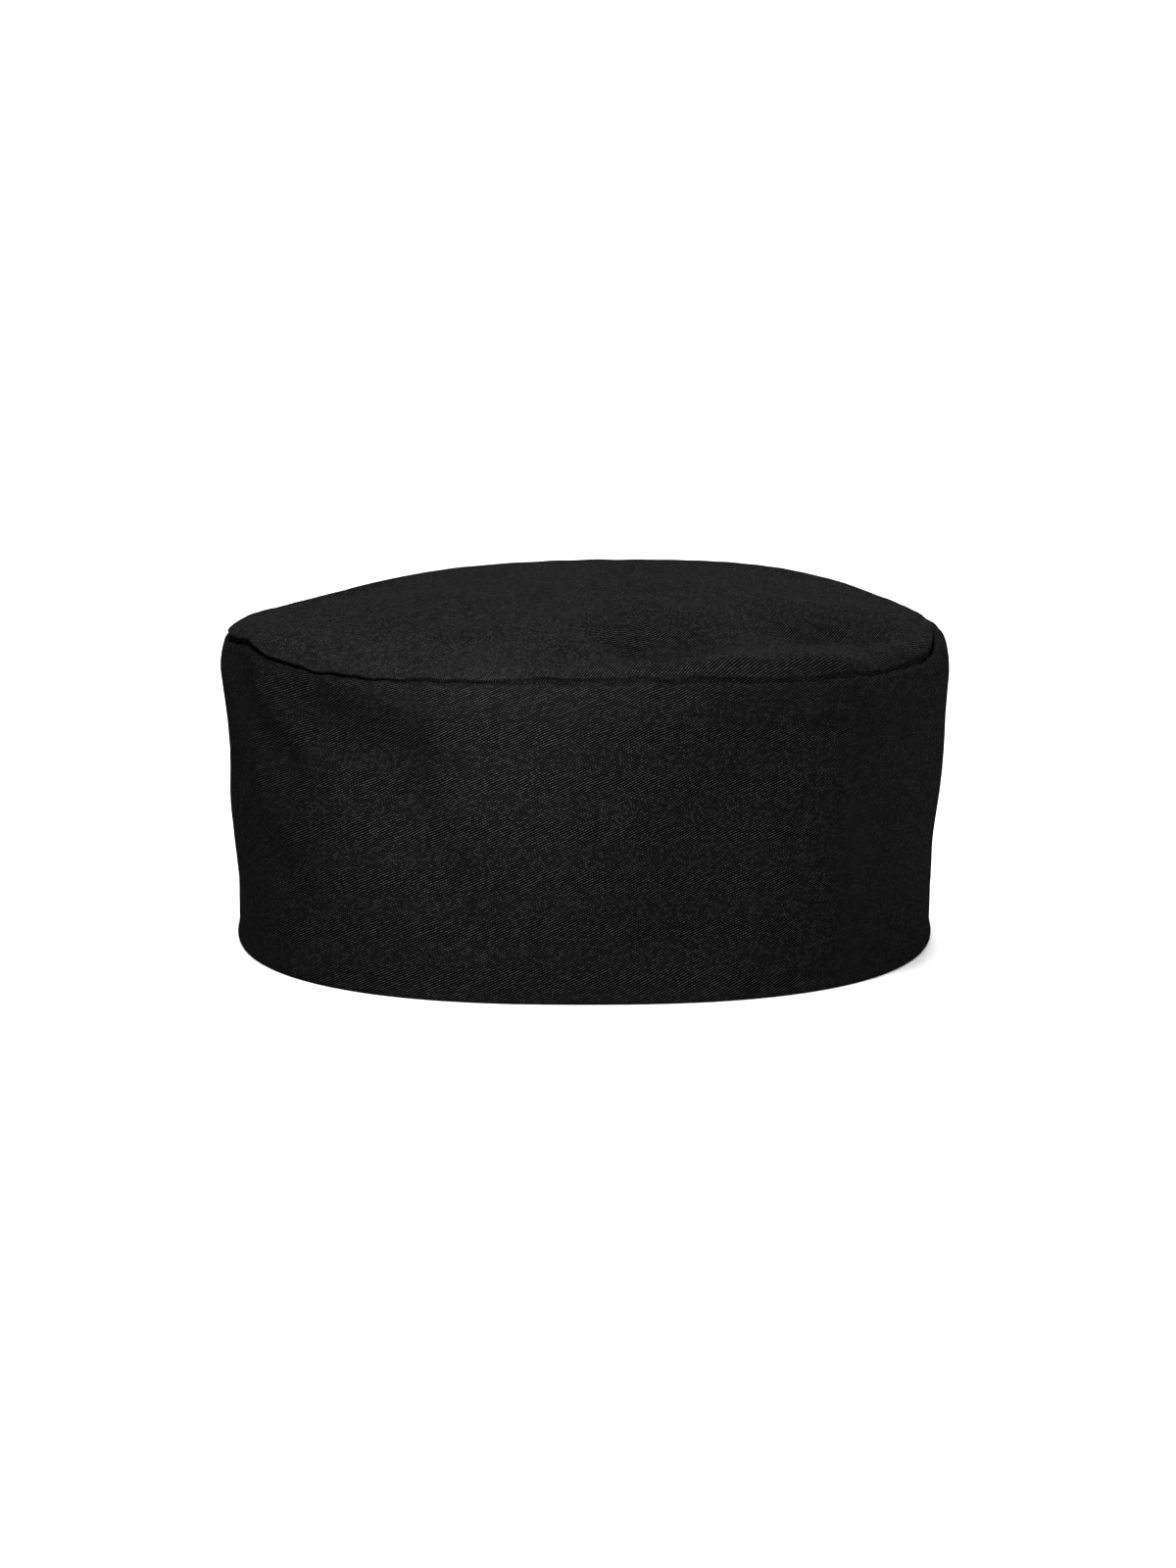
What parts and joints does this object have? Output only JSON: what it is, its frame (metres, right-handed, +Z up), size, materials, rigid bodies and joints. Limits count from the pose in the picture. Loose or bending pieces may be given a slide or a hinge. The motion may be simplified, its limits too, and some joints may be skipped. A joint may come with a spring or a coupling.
{
  "type": "chef skull cap",
  "caption": "Round brimless chef's cap: a cloth side band with a turned-up hem and a slack, puffed top panel sewn in at a rolled shoulder seam.",
  "frame": {"origin": "middle of the hem's lower edge, on the surface that the cap stands on", "axes": "+Z up to the crown, -Y to the front of the cap, +X to its right as seen from the front"},
  "size_m": [0.1909, 0.2001, 0.0899],
  "materials": {
    "band_twill": "black cotton-blend twill, matt, with a fine diagonal rib",
    "crown_twill": "black cotton-blend twill, matt, with a fine diagonal rib"
  },
  "bodies": {
    "root": {"band": "band_twill", "crown_panel": "crown_twill"}
  },
  "joints": []
}
